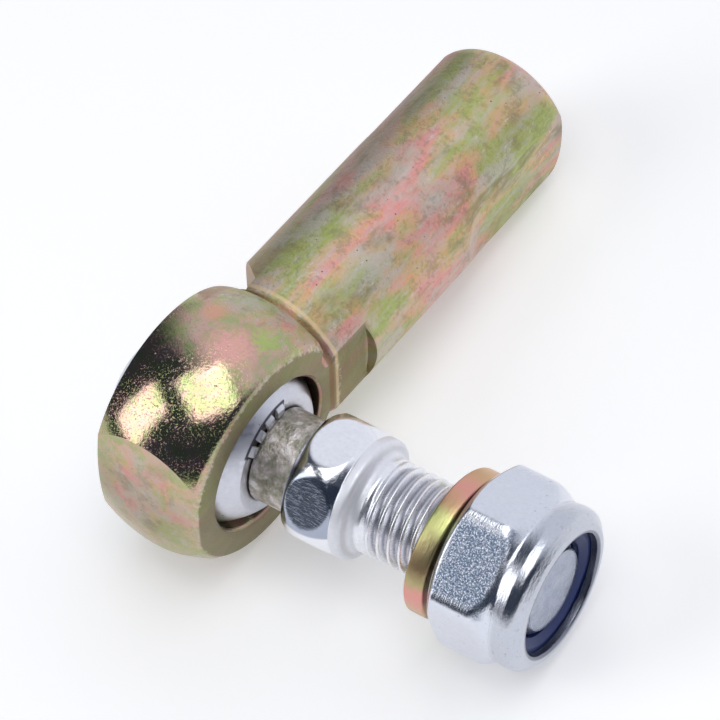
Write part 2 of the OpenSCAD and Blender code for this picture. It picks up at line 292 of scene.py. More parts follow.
class Paint:
    """A node tree with short ways to add a node, a colour mix and a vector."""

    def __init__(self, tree):
        self.tree = tree
        self.tree.nodes.clear()

    def node(self, kind, settings=None, inputs=None, out=0):
        """A node of this kind: its settings are set first, then its sockets' values or links."""
        made = self.tree.nodes.new(kind)
        for key, value in (settings or {}).items():
            if key == "stops":
                self.stops(made.color_ramp, value)
            else:
                setattr(made, key, value)
        for key, value in (inputs or {}).items():
            socket = made.inputs[key]
            if isinstance(value, Value):
                self.tree.links.new(value.socket, socket)
            else:
                socket.default_value = value
        return Value(self, made.outputs[out]) if made.outputs else None

    def stops(self, ramp, stops):
        """Sets a colour ramp's stops from pairs of a place and a colour."""
        while len(ramp.elements) < len(stops):
            ramp.elements.new(0.5)
        for element, (place, colour) in zip(ramp.elements, stops):
            element.position = place
            element.color = (*colour, 1.0)

    def vector(self, operation, *values, out=0):
        """One Vector Math node on the values."""
        return self.node("ShaderNodeVectorMath", {"operation": operation}, dict(enumerate(values)), out)

    def scaled(self, vector, *shares):
        """The vector with each part times its own share."""
        return self.vector("MULTIPLY", vector, shares)

    def moved(self, vector, *steps):
        """The vector with a step added to each part."""
        return self.vector("ADD", vector, steps)

    def dot(self, vector, direction):
        """Length of the vector along a direction."""
        return self.vector("DOT_PRODUCT", vector, tuple(direction), out="Value")

    def about(self, *axes):
        """Millimetres from the ball's centre along three axes square to each other, and their vector."""
        place = self.node("ShaderNodeTexCoord", out="Object")
        place = self.vector("SUBTRACT", place, tuple(CENTRE))
        parts = [self.dot(place, np.asarray(axis) / MM) for axis in axes]
        return *parts, self.node("ShaderNodeCombineXYZ", {}, dict(enumerate(parts)))

    def noise(self, vector, scale, detail=3.0, rough=0.5, distortion=0.0):
        """Noise whose size is given per millimetre where the vector is in millimetres."""
        return self.node(
            "ShaderNodeTexNoise", {"noise_dimensions": "3D"},
            {"Vector": vector, "Scale": scale, "Detail": detail, "Roughness": rough,
             "Distortion": distortion})

    def cells(self, vector, scale):
        """Distance to the nearest of many scattered points."""
        return self.node("ShaderNodeTexVoronoi", {"feature": "F1"}, {"Vector": vector, "Scale": scale})

    def ramp(self, value, stops):
        """Colours that follow the value from stop to stop."""
        return self.node("ShaderNodeValToRGB", {"stops": stops}, {0: value})

    def step(self, value, low, high):
        """0 below low, 1 above high, smooth between; low above high turns it round."""
        return self.node(
            "ShaderNodeMapRange", {"interpolation_type": "SMOOTHSTEP"},
            {"Value": value, "From Min": low, "From Max": high, "To Min": 0.0, "To Max": 1.0})

    def band(self, value, middle, full, none):
        """1 where the value is within full of the middle, 0 past none."""
        return self.step((value - middle).absolute(), none, full)

    def mix(self, amount, first, second):
        """First colour at 0, second at 1."""
        return self.node("ShaderNodeMix", {"data_type": "RGBA"}, {0: amount, 6: first, 7: second}, out=2)

    def bump(self, height, strength, distance, normal=None):
        """A normal tilted by a height, over one from before where there is one."""
        inputs = {"Strength": strength, "Distance": distance, "Height": height}
        if normal is not None:
            inputs["Normal"] = normal
        return self.node("ShaderNodeBump", {}, inputs)

    def surface(self, **inputs):
        """Principled surface, with underscores in the names for spaces."""
        names = {key.replace("_", " "): value for key, value in inputs.items()}
        shader = self.node("ShaderNodeBsdfPrincipled", {}, names)
        self.node("ShaderNodeOutputMaterial", {}, {"Surface": shader})


def from_axis_of(first, second):
    """Distance from an axis: the root of the two squared lengths across it."""
    return (first * first + second * second) ** 0.5


def rgb(red, green, blue):
    """A colour with full alpha."""
    return (red, green, blue, 1.0)


def material(name, paint_it):
    """A new material whose node tree is laid out by paint_it."""
    made = bpy.data.materials.new(name)
    made.use_nodes = True
    paint_it(Paint(made.node_tree))
    return made


def zinc_hues(paint, spot, side):
    """Interference colours of yellow passivation: pink and beige, with yellow-edged green streaks."""
    bent = paint.scaled(spot, 0.42, 1.0, 1.0)
    phase = (side - GREEN_PLACE) * (FULL_TURN / GREEN_PERIOD)
    lean = phase.cosine() * paint.step(side, 8.0, 12.0) * 0.05
    rose = paint.noise(bent, 0.26, 4.0, 0.55, 0.2) + lean * 0.8
    green = paint.noise(paint.moved(bent, 31.0, 7.0, 3.0), 0.22, 5.0, 0.58, 0.2) + lean
    olive = paint.noise(paint.moved(bent, -9.0, 4.0, 17.0), 0.26, 4.0, 0.6, 0.2)
    grey = paint.noise(paint.moved(bent, 5.0, -21.0, 8.0), 0.34, 5.0, 0.65, 0.2)
    settings = bpy.context.scene.ball_joint
    colour = paint.mix(paint.step(rose, 0.38, 0.60), rgb(*settings.pink), rgb(0.64, 0.50, 0.40))
    edge = paint.step(green, 0.44, 0.51) * paint.step(green, 0.60, 0.52)
    colour = paint.mix(edge * 0.5, colour, rgb(0.80, 0.52, 0.22))
    colour = paint.mix(paint.step(green, 0.47, 0.62) * 0.9, colour, rgb(*settings.green))
    colour = paint.mix(paint.step(grey, 0.48, 0.64) * 0.7, colour, rgb(0.62, 0.58, 0.53))
    return paint.mix(paint.step(olive, 0.52, 0.68) * 0.7, colour, rgb(0.30, 0.26, 0.14))


def yellow_zinc_head(paint):
    """Yellow passivated zinc on the head and shank.

    The head is glossy and speckled on its crown side, and elsewhere a dull skin carries the hues, grey
    rubbed streaks, pits and scuffs. The bore walls carry painted dark brown shade, the front face is
    olive, the back and the underside carry painted shade, and a pale stripe along the shank's edge is a
    painted highlight. The thread in the shank is bump: a ridge that follows a helix.
    """
    side, above, out, spot = paint.about(SHANK, RISE, FRONT)
    middle = paint.noise(spot, 0.5, 4.0, 0.6, 0.4)
    fine = paint.noise(spot, 2.2, 4.0, 0.68)
    dust = paint.noise(spot, 5.0, 3.0, 0.7)
    streak = paint.noise(paint.scaled(spot, 0.35, 1.6, 1.6), 1.2, 5.0, 0.7)
    on_head = paint.step(side, 11.5, 9.5)
    colour = zinc_hues(paint, paint.mix(on_head, spot, paint.scaled(spot, 1.7, 1.1, 1.1)), side)

    rubbed = paint.step(streak * 0.55 + middle * 0.45, 0.46, 0.60)
    colour = paint.mix(rubbed * 0.4, colour, rgb(0.66, 0.61, 0.56))
    scuffed = paint.step(streak, 0.60, 0.68) * paint.step(fine, 0.48, 0.58)
    colour = paint.mix(scuffed * 0.6, colour, rgb(0.80, 0.77, 0.74))
    dirt = paint.step(fine * 0.5 + middle * 0.5, 0.5, 0.40)
    colour = paint.mix(dirt * 0.4, colour, rgb(0.27, 0.23, 0.16))
    # Painted shade: the back of the head and shank is darkened towards brown
    back = paint.step(out, -1.5, -6.0)
    colour = paint.mix(back * 0.55, colour, rgb(0.24, 0.18, 0.12))
    colour = paint.mix(on_head * 0.16, colour, rgb(0.20, 0.17, 0.10))

    from_bore = from_axis_of(side, above)
    from_shank = from_axis_of(above, out)
    face = paint.step(out, FRONT_OUT - 0.12, FRONT_OUT - 0.04)
    near = paint.step(side, 16.5, 15.5)
    colour = paint.mix(face * near * 0.8, colour, rgb(0.25, 0.24, 0.12))
    # Painted shade: the bore walls inside the opening are darkened to a dark brown
    bore = paint.step(from_bore, OPENING_R + 0.12, OPENING_R + 0.03) * paint.step(out, -1.0, 0.0)
    colour = paint.mix(bore, colour, rgb(0.11, 0.07, 0.04))
    turned = paint.step(out, -BACK_OUT + 0.1, -BACK_OUT - 0.1) * paint.step(side, 17.0, 16.2)
    turned = turned * paint.step(from_bore, HEAD_R - 1.2, HEAD_R - 0.9)
    colour = paint.mix(turned * 0.5, colour, rgb(0.40, 0.28, 0.16))
    edge_r = math.sqrt(HEAD_R ** 2 - (FRONT_OUT - HEAD_SHIFT) ** 2)
    rim = paint.band(from_bore, edge_r - 0.1, 0.1, 0.45)
    rim = rim * paint.step(out, FRONT_OUT - 0.9, FRONT_OUT - 0.4)
    chipped = rim * paint.step(fine, 0.5, 0.58)
    colour = paint.mix(chipped * 0.7, colour, rgb(0.72, 0.68, 0.58))
    root = math.sqrt(HEAD_R ** 2 - SHANK_R ** 2)
    waist = paint.step(from_shank, SHANK_R + 1.0, SHANK_R + 0.5)
    shade = waist * paint.band(side, root - 0.35, 0.2, 0.55)
    colour = paint.mix(shade * 0.8, colour, rgb(0.30, 0.17, 0.08))
    # Painted highlight: a pale orange stripe along the shank's edge beside the head
    bright = waist * paint.band(side, root + 0.55, 0.1, 0.35)
    colour = paint.mix(bright * 0.6, colour, rgb(0.90, 0.70, 0.42))

    # Painted shade: the head's underside is darkened, and the whole surface a little
    under = paint.step(above + side * 0.3, 2.0, -6.0) * on_head
    colour = paint.mix(under * 0.25 + 0.05, colour, rgb(0.24, 0.20, 0.13))
    pits = paint.step(paint.cells(spot, 1.1), 0.11, 0.04) * paint.step(middle, 0.5, 0.56)
    colour = paint.mix(pits * 0.8, colour, rgb(0.07, 0.05, 0.03))

    round_part = paint.step(side, 12.0, 9.0) * paint.step(out, FRONT_OUT, FRONT_OUT - 0.4)
    crown_side = paint.step(side * 0.8 - above * 0.3 + (middle - 0.5) * 12.0, 1.8, -0.2)
    gloss = round_part * crown_side * paint.step(side, -CROWN_OUT + 0.1, -CROWN_OUT + 0.9)
    mottled = paint.step(fine * 0.3 + middle * 0.7, 0.42, 0.58)
    sheen = paint.mix(mottled, rgb(0.38, 0.44, 0.20), rgb(0.58, 0.38, 0.31))
    colour = paint.mix(gloss * 0.75, colour, sheen)
    for place, reach, hue in HEAD_PATCHES:
        away = sum((part - at) ** 2 for part, at in zip((side, above, out), place)) ** 0.5
        patch = paint.step(away + (fine - 0.5) * 5.0, reach, reach * 0.2)
        colour = paint.mix(patch * 0.8, colour, rgb(*hue))
    dents = (paint.step(dust, 0.58, 0.70) + paint.step(fine, 0.60, 0.76) * 0.6).clamp() * gloss
    rough = 0.46 - gloss * 0.36 + (fine - 0.5) * 0.22 * (1.0 - gloss) + rubbed * 0.05
    grain = paint.mix(gloss, fine * 0.4 + dust * 0.6, dents)
    normal = paint.bump(grain, 0.3 - gloss * 0.12, 0.00014)
    normal = paint.bump(middle * 0.7 + fine * 0.3, 0.26 - gloss * 0.17, 0.0006, normal)
    tapped = paint.step(from_shank, TAP_R + 0.3, TAP_R + 0.05) * paint.step(side, 20.0, 24.0)
    ridge = ((side / PITCH + above.turn(out) / FULL_TURN).mod(1.0) - 0.5).absolute() * tapped
    normal = paint.bump(ridge, 1.0, 0.0012, normal)
    normal = paint.bump(1.0 - pits, 0.6, 0.0002, normal)
    metal = 0.9 + gloss * 0.1
    paint.surface(Base_Color=colour, Metallic=metal, Roughness=rough.clamp(), Normal=normal)


def white_zinc(paint):
    """Bright zinc on the ring and ball, with faint frost, painted shade round the staked tabs and on one side."""
    side, above, out, spot = paint.about(SIDE, ABOVE, STUD)
    fine = paint.noise(spot, 2.2, 4.0, 0.6)
    dust = paint.noise(spot, 6.0, 3.0, 0.6)
    from_axis = from_axis_of(side, above)
    colour = paint.mix((fine * 0.7).clamp(), rgb(0.70, 0.71, 0.78), rgb(0.58, 0.59, 0.66))
    pitch = math.radians(TAB_PITCH)
    turn = (above.turn(side) - math.radians(TAB_TURN) + pitch / 2).mod(FULL_TURN / 2)
    group = paint.step(turn, pitch * TAB_COUNT + 0.02, pitch * TAB_COUNT - 0.02)
    across = ((turn.mod(pitch) - pitch / 2) * from_axis).absolute()
    # Painted shade: near black in the slots round the staked tabs, along their outer edge and round the neck's
    # foot
    band = paint.step(out, BALL_FLAT - 0.1, BALL_FLAT - 0.02)
    band = band * paint.step(from_axis, TAB_OUT_R + 0.16, TAB_OUT_R + 0.01)
    tab_gap_shade = paint.step(across, TAB_W / 2 - 0.04, TAB_W / 2 + 0.04)
    tab_gap_shade = tab_gap_shade.most(paint.step(from_axis, NECK_R + 0.20, NECK_R + 0.07))
    foot = paint.step(from_axis, NECK_R + 0.35, NECK_R + 0.05)
    foot = foot * paint.step(out, BALL_FLAT - 0.1, BALL_FLAT)
    tab_outline_shade = paint.band(from_axis, TAB_OUT_R, 0.06, 0.14)
    tab_outline_shade = tab_outline_shade * paint.step(out, BALL_FLAT - 0.5, BALL_FLAT - 0.3)
    tab_gap_shade = (tab_gap_shade * band).most(tab_outline_shade) * group
    colour = paint.mix(tab_gap_shade.most(foot * 0.7) * 0.9, colour, rgb(0.05, 0.045, 0.05))
    shaded = paint.step(side, 4.6, 6.2) * paint.step(out, 1.0, 3.0)
    shaded = shaded * paint.step(from_axis, TAB_OUT_R - 0.04, TAB_OUT_R + 0.26)
    colour = paint.mix(shaded * 0.85, colour, rgb(0.09, 0.07, 0.06))
    rough = (0.34 + (fine - 0.45) * 0.5).clamp()
    normal = paint.bump(dust * 0.6 + fine * 0.4, 0.2, 0.0001)
    paint.surface(Base_Color=colour, Metallic=1.0, Roughness=rough, Normal=normal)


def stud_zinc(paint):
    """Bright zinc on the stud: a matt brownish neck, polished flats, one painted dark as a reflection, a bright
    thread with painted shade in its roots.
    """
    side, above, out, spot = paint.about(SIDE, ABOVE, STUD)
    fine = paint.noise(spot, 2.2, 4.0, 0.6)
    dust = paint.noise(spot, 5.0, 3.0, 0.65)
    brushed = paint.noise(paint.scaled(spot, 4.5, 4.5, 0.6), 2.0, 3.0, 0.6)
    blotch = paint.noise(spot, 0.8, 4.0, 0.65)
    from_axis = from_axis_of(side, above)
    neck = paint.step(out, HEX_IN + 0.1, HEX_IN - 0.3) * paint.step(out, NECK_OUT - 0.5, NECK_OUT)
    hexagonal = paint.step(out, HEX_IN, HEX_IN + 0.2) * paint.step(out, HEX_OUT + 0.1, HEX_OUT - 0.1)
    front = paint.step(out, HEX_OUT - 0.1, HEX_OUT + 0.3)
    threaded = paint.step(out, SHOULDER_OUT + 0.5, SHOULDER_OUT + 1.0)

    colour = paint.mix((fine * 0.7).clamp(), rgb(0.92, 0.93, 0.98), rgb(0.76, 0.77, 0.83))
    brown = paint.ramp(blotch, [
        (0.36, (0.32, 0.30, 0.25)), (0.46, (0.46, 0.45, 0.38)), (0.54, (0.60, 0.54, 0.51)),
        (0.62, (0.80, 0.76, 0.75)),
    ])
    colour = paint.mix(neck, colour, brown)
    # Painted shade: the thread's roots are darkened
    root = paint.step(from_axis, THREAD_R - 0.3, THREAD_R - 0.65) * threaded
    root = root * paint.step(out, STUD_END - 0.2, STUD_END - 0.9)
    colour = paint.mix(root * 0.55, colour, rgb(0.20, 0.20, 0.24))
    tip = paint.step(out, STUD_END - STUD_CHAMFER - 0.1, STUD_END - STUD_CHAMFER + 0.1)
    tip = tip * paint.step(from_axis, THREAD_R - STUD_CHAMFER + 0.02, THREAD_R - STUD_CHAMFER + 0.12)
    colour = paint.mix(tip * 0.85, colour, rgb(0.06, 0.07, 0.13))
    end = paint.step(out, STUD_END - 0.1, STUD_END - 0.02)
    colour = paint.mix(end * (0.45 + blotch * 0.6), colour, rgb(0.24, 0.28, 0.39))
    # Painted reflection: one flat of the hexagon is painted navy, as a dark mirrored studio
    painted_flat_reflection = paint.band(above.turn(side), math.radians(HEX_TURN + 150.0), 0.44, 0.50) * hexagonal
    colour = paint.mix(painted_flat_reflection * 0.75, colour, rgb(0.24, 0.29, 0.40))
    rough = 0.16 + neck * 0.34 + front * 0.34 - threaded * 0.22
    rough = rough + (fine - 0.45) * (0.3 - hexagonal * 0.2)
    scored = paint.step(brushed, 0.55, 0.62) * hexagonal
    normal = paint.bump(dust * 0.5 + brushed * 0.5, 0.12 + neck * 0.4 - hexagonal * 0.06, 0.00012)
    normal = paint.bump(scored, 0.08, 0.00012, normal)
    normal = paint.bump(blotch * neck, 0.5, 0.0005, normal)
    metal = 1.0 - front * 0.35 + threaded * 0.25 + end * 0.1
    paint.surface(Base_Color=colour, Metallic=metal, Roughness=rough.clamp(), Normal=normal)


def nut_zinc(paint):
    """Bright zinc on the nut: polished flats, one grainy with a painted dark reflection, painted shade inside it,
    and a duller, streaked collar.
    """
    side, above, out, spot = paint.about(SIDE, ABOVE, STUD)
    fine = paint.noise(spot, 2.5, 4.0, 0.65)
    streak = paint.noise(paint.scaled(spot, 1.0, 1.0, 4.0), 1.6, 4.0, 0.6)
    from_axis = from_axis_of(side, above)
    flats = paint.step(out, NUT_HEX_OUT - 0.4, NUT_HEX_OUT - 1.4)
    flats = flats * paint.step(out, NUT_IN + 0.3, NUT_IN + 0.9)
    flats = flats * paint.step(from_axis, NUT_AF / 2 + 0.95, NUT_AF / 2 + 0.6)
    # Painted reflection: one flat's grain is painted dark navy; the same mask also roughens its bump
    grainy_flat_and_painted_reflection = paint.band(above.turn(side), math.radians(NUT_TURN + 90.0), 0.50, 0.56) * flats
    grain = paint.noise(paint.scaled(spot, 1.0, 1.0, 0.6), 9.0, 3.0, 0.7)
    colour = paint.mix((fine * 0.8).clamp(), rgb(0.78, 0.80, 0.88), rgb(0.62, 0.65, 0.73))
    colour = paint.mix(grainy_flat_and_painted_reflection * paint.step(grain, 0.40, 0.54) * 0.9, colour, rgb(0.10, 0.17, 0.28))
    specks = paint.step(paint.cells(spot, 0.9), 0.12, 0.05) * paint.step(fine, 0.48, 0.54)
    worn = paint.step(streak, 0.60, 0.70) * paint.step(out, NUT_HEX_OUT - 1.2, NUT_HEX_OUT)
    colour = paint.mix(specks.most(worn * 0.5) * 0.8, colour, rgb(0.22, 0.23, 0.28))
    collar = paint.step(out, NUT_HEX_OUT - 0.2, NUT_HEX_OUT + 0.6)
    colour = paint.mix(collar * 0.35, colour, rgb(0.30, 0.32, 0.38))
    # Painted shade: the nut's bore and the hollow inside its lip are darkened
    inside = paint.step(from_axis, INSERT_R + 0.1, INSERT_R - 0.1)
    colour = paint.mix(inside * 0.8, colour, rgb(0.12, 0.13, 0.17))
    rough = 0.15 + (fine - 0.45) * 0.25 + flats * 0.05
    normal = paint.bump(grain, 0.04 + flats * 0.04 + grainy_flat_and_painted_reflection * 0.3, 0.0001)
    normal = paint.bump(streak, 0.12, 0.0004, normal)
    paint.surface(Base_Color=colour, Metallic=1.0, Roughness=rough.clamp(), Normal=normal)


def yellow_zinc_washer(paint):
    """Yellow zinc on the spring washer: bands of tan, pink and green round the ring, and a lime band that is a
    painted highlight.
    """
    side, above, out, spot = paint.about(SIDE, ABOVE, STUD)
    bend = paint.noise(spot, 0.5, 2.0, 0.5)
    turn = (above.turn(side) / FULL_TURN + (bend - 0.5) * 0.06).mod(1.0)
    fine = paint.noise(spot, 3.0, 3.0, 0.6)
    brushed = paint.noise(paint.scaled(spot, 0.3, 0.3, 4.0), 2.0, 4.0, 0.6)
    tan, pink, lime = (0.66, 0.42, 0.24), (0.76, 0.35, 0.30), (0.66, 0.68, 0.28)
    olive, brown = (0.46, 0.40, 0.20), (0.32, 0.22, 0.12)
    # The lime stops from 0.305 to 0.33 are a painted highlight at a fixed place round the ring; the other stops
    # are the zinc's hues
    hue = paint.ramp(turn, [
        (0.00, lime), (0.06, tan), (0.17, tan), (0.23, pink), (0.275, tan), (0.305, lime),
        (0.33, lime), (0.36, olive), (0.42, brown), (0.46, olive), (0.48, pink), (0.51, pink),
        (0.54, tan), (0.60, brown), (0.70, lime), (0.80, pink), (0.90, olive), (1.00, lime),
    ])
    normal = paint.bump(brushed * 0.6 + fine * 0.4, 0.3, 0.0002)
    paint.surface(Base_Color=hue, Metallic=0.92, Roughness=0.3, Normal=normal)


def blue_nylon(paint):
    """Dark blue nylon with a soft sheen."""
    *_, spot = paint.about(SIDE, ABOVE, STUD)
    fine = paint.noise(spot, 3.0, 3.0, 0.6)
    nylon = bpy.context.scene.ball_joint.nylon
    colour = paint.mix(fine, rgb(*nylon), rgb(*(1.7 * part for part in nylon)))
    normal = paint.bump(fine, 0.15, 0.0001)
    paint.surface(Base_Color=colour, Roughness=0.35, Specular_IOR_Level=0.4, Normal=normal)


def about_axis(radius, turn, out, side, above, axis):
    """Points in metres: the centre, plus the radius along side turned towards above, plus out on the axis.

    The turned direction is cos of the turn times side plus sin of the turn times above.
    """
    return CENTRE + MM * (
        radius[..., None] * (np.cos(turn)[..., None] * side + np.sin(turn)[..., None] * above)
        + out[..., None] * axis
    )


def carried_round(profile, columns):
    """Radius, turn and out of a profile of [radius, out] points carried round in equal steps."""
    radius, out = (np.repeat(profile[:, i:i + 1], columns, 1) for i in (0, 1))
    turn = np.broadcast_to(np.linspace(0, FULL_TURN, columns, endpoint=False), radius.shape)
    return radius, turn, out


def rounded(corners, steps=5):
    """Profile through [radius, out, rounding] corners, each rounding an arc that touches both sides."""
    profile = []
    count = len(corners)
    for i, (r, z, e) in enumerate(corners):
        here = np.array([r, z], float)
        if e == 0 or i in (0, count - 1):
            profile.append(here)
            continue
        before = np.array(corners[i - 1][:2], float) - here
        after = np.array(corners[i + 1][:2], float) - here
        a, b = unit(before), unit(after)
        half = math.acos(np.clip(a @ b, -1, 1)) / 2
        reach = min(e / math.tan(half), 0.49 * np.linalg.norm(before), 0.49 * np.linalg.norm(after))
        radius = reach * math.tan(half)
        middle = here + unit(a + b) * radius / math.sin(half)
        start, end = here + a * reach - middle, here + b * reach - middle
        sweep = math.atan2(start[0] * end[1] - start[1] * end[0], start @ end)
        for part in np.linspace(0, 1, steps + 1):
            c, s = math.cos(sweep * part), math.sin(sweep * part)
            profile.append(middle + (c * start[0] - s * start[1], s * start[0] + c * start[1]))
    return np.array(profile)


def finer(profile, longest):
    """The profile with its long straight stretches cut into parts no longer than this."""
    parts = [profile[:1]]
    for first, last in zip(profile[:-1], profile[1:]):
        count = max(1, int(math.ceil(np.linalg.norm(last - first) / longest)))
        parts.append(first + (last - first) * (np.arange(1, count + 1) / count)[:, None])
    return np.concatenate(parts)


def softly_least(first, second, blend):
    """Smaller of two values, with a round of about the blend's width where they cross."""
    gap = np.clip(0.5 + 0.5 * (second - first) / blend, 0, 1)
    return second * (1 - gap) + first * gap - blend * gap * (1 - gap)


def softly_most(first, second, blend):
    """Larger of two values, with a hollow of about the blend's width where they cross."""
    return -softly_least(-first, -second, blend)


def hexagon(turn, across_flats, start):
    """Distance to a hexagon's side: half its width over the cosine of the angle off the side's middle."""
    sixth = FULL_TURN / 6
    off = np.mod(turn - math.radians(start), sixth) - sixth / 2
    return across_flats / 2 / np.cos(off)


def mended(mesh, merge, sliver=None):
    """Merges doubled points, and given a sliver drops edges that short and turns the faces outwards."""
    work = bmesh.new()
    work.from_mesh(mesh)
    bmesh.ops.remove_doubles(work, verts=work.verts, dist=merge)
    if sliver is not None:
        bmesh.ops.dissolve_degenerate(work, edges=work.edges, dist=sliver)
        bmesh.ops.recalc_face_normals(work, faces=work.faces)
    work.to_mesh(mesh)
    work.free()


def skin(name, points, sharp=None):
    """Smooth mesh of quads between neighbouring rows and columns; the last column meets the first."""
    rows, columns = points.shape[:2]
    index = np.arange(rows * columns).reshape(rows, columns)
    here, up = index[:-1], index[1:]
    quads = np.stack([here, np.roll(here, -1, 1), np.roll(up, -1, 1), up], -1).reshape(-1, 4)
    mesh = bpy.data.meshes.new(name)
    mesh.from_pydata(points.reshape(-1, 3).tolist(), [], quads.tolist())
    mended(mesh, GRID_MERGE, SLIVER)
    mesh.shade_smooth()
    if sharp is not None:
        mesh.set_sharp_from_angle(angle=math.radians(sharp))
    return mesh


def merged_copy(node, name):
    """Copy of a CAD node with its points merged, smooth but for its edges over the sharp angle."""
    mesh = frame["nodes"][node].data.copy()
    mesh.name = name
    mended(mesh, CAD_MERGE)
    if mesh.has_custom_normals:
        mesh.normals_split_custom_set([(0, 0, 0)] * len(mesh.loops))
    mesh.shade_smooth()
    mesh.set_sharp_from_angle(angle=math.radians(CAD_SHARP))
    return mesh


def true_normals(mesh, shapes):
    """Gives the corners on each named shape that shape's own normals, and leaves the rest as shaded.

    A shape is a function from points in millimetres about the ball's centre to each one's distance off
    it and normal.
    """
    count = len(mesh.vertices)
    points = np.empty(count * 3)
    mesh.vertices.foreach_get("co", points)
    points = (points.reshape(-1, 3) - CENTRE) / MM
    corners = np.empty(len(mesh.loops), np.int32)
    mesh.loops.foreach_get("vertex_index", corners)
    normals = np.empty(len(mesh.loops) * 3)
    mesh.corner_normals.foreach_get("vector", normals)
    normals = normals.reshape(-1, 3)
    flat = np.empty(len(mesh.polygons) * 3)
    mesh.polygon_normals.foreach_get("vector", flat)
    flat = flat.reshape(-1, 3)
    triangles = corners.reshape(-1, 3)
    for shape in shapes:
        off, direction = shape(points)
        on = (np.abs(off) < ON_SHAPE)[triangles].all(1)
        facing = (direction[triangles].mean(1) * flat).sum(1)
        on &= np.abs(facing) > FACING_SHAPE
        chosen = np.repeat(on, 3)
        sign = np.sign(np.repeat(facing, 3))[:, None]
        normals[chosen] = (direction[corners] * sign)[chosen]
    normals /= np.linalg.norm(normals, axis=1, keepdims=True)
    mesh.normals_split_custom_set(normals.tolist())


def ball_shape(centre, radius):
    """A sphere: its normals point away from its centre."""
    def shape(points):
        away = points - centre
        length = np.linalg.norm(away, axis=1, keepdims=True)
        return length[:, 0] - radius, away / length
    return shape


def rod_shape(axis, radius):
    """A cylinder round an axis through the ball's centre: its normals point away from the axis."""
    def shape(points):
        away = points - (points @ axis)[:, None] * axis
        length = np.linalg.norm(away, axis=1, keepdims=True)
        return length[:, 0] - radius, away / np.maximum(length, 1e-9)
    return shape


def round_edge_shape(axis, out, radius, edge):
    """A ring: its normals point away from a circle of that radius, out along the axis."""
    def shape(points):
        along = points @ axis
        away = points - along[:, None] * axis
        length = np.maximum(np.linalg.norm(away, axis=1, keepdims=True), 1e-9)
        away = points - away / length * radius - axis * out
        span = np.maximum(np.linalg.norm(away, axis=1, keepdims=True), 1e-9)
        return span[:, 0] - edge, away / span
    return shape


def rolled_thread(turn, out, thread_depth):
    """Radius of a right-hand thread: the rod's, less a depth that follows a helix.

    The phase is the distance out in pitches less the turn in whole turns. The depth runs from none on
    the crest to full in the root, partly straight and partly eased, and grows over the run-in.
    """
    phase = np.mod((out - STUD_END) / PITCH - turn / FULL_TURN, 1.0)
    off = np.abs(phase - 0.5) * 2
    depth = np.clip((CREST_START - off) / (CREST_START - ROOT_END), 0, 1)
    depth = depth * depth * (3 - 2 * depth) * FLANK_EASE + depth * (1 - FLANK_EASE)
    grown = np.clip((out - THREAD_START) / (PITCH * RUN_IN), 0, 1)
    radius = THREAD_R - CREST_IN - thread_depth * depth * grown
    chamfer = THREAD_R - STUD_CHAMFER + (STUD_END - out)
    return np.minimum(radius, chamfer)


def new_piece(name, mesh, body, slot, paint_it, *nodes):
    """An object in a finish named as its slot, that rides on a body and stands for CAD nodes."""
    piece = bpy.data.objects.new(name, mesh)
    bpy.context.scene.collection.objects.link(piece)
    mesh.materials.clear()
    mesh.materials.append(material(slot, paint_it))
    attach(piece, body)
    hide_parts(*nodes)


class JointSettings(bpy.types.PropertyGroup):
    """Sizes and colours that a user would change."""

    thread_depth: FloatProperty(
        name="Thread depth", description="Depth of the stud's thread", default=0.00072, unit="LENGTH")
    pink: FloatVectorProperty(
        name="Zinc pink", description="Pink of the yellow zinc", subtype="COLOR", size=3,
        default=(0.84, 0.36, 0.33))
    green: FloatVectorProperty(
        name="Zinc green", description="Green of the yellow zinc", subtype="COLOR", size=3,
        default=(0.44, 0.53, 0.15))
    nylon: FloatVectorProperty(
        name="Nylon", description="Blue of the nut's insert", subtype="COLOR", size=3,
        default=(0.006, 0.02, 0.11))
    light: FloatProperty(
        name="Light", description="Power of the two soft boxes together", default=2.3, unit="POWER")
    lens: FloatProperty(
        name="Lens", description="Focal length of the camera", default=212.0, unit="CAMERA")
    pale: FloatVectorProperty(
        name="Floor colour", description="Colour of the floor", subtype="COLOR", size=3,
        default=(0.94, 0.94, 0.94))


class JOINT_OT_housing(bpy.types.Operator):
    """Head and shank with exact normals on their round faces"""
    bl_idname = "joint.housing"
    bl_label = "Housing"

    def execute(self, context):
        mesh = merged_copy("housing", "housing_skin")
        head = FRONT * HEAD_SHIFT
        crown = head + SHANK * (CROWN_R - CROWN_OUT)
        true_normals(mesh, [
            ball_shape(head, HEAD_R),
            ball_shape((0, 0, 0), SEAT_R),
            ball_shape(crown, CROWN_R),
            rod_shape(SHANK, SHANK_R),
            rod_shape(FRONT, FACING_R),
            rod_shape(FRONT, OPENING_R),
            rod_shape(SHANK, TAP_R),
            round_edge_shape(SHANK, SHANK_END - SHANK_ROUND, SHANK_R - SHANK_ROUND, SHANK_ROUND),
        ])
        new_piece("housing_skin", mesh, "head", "head_yellow_zinc", yellow_zinc_head, "housing")
        return {"FINISHED"}


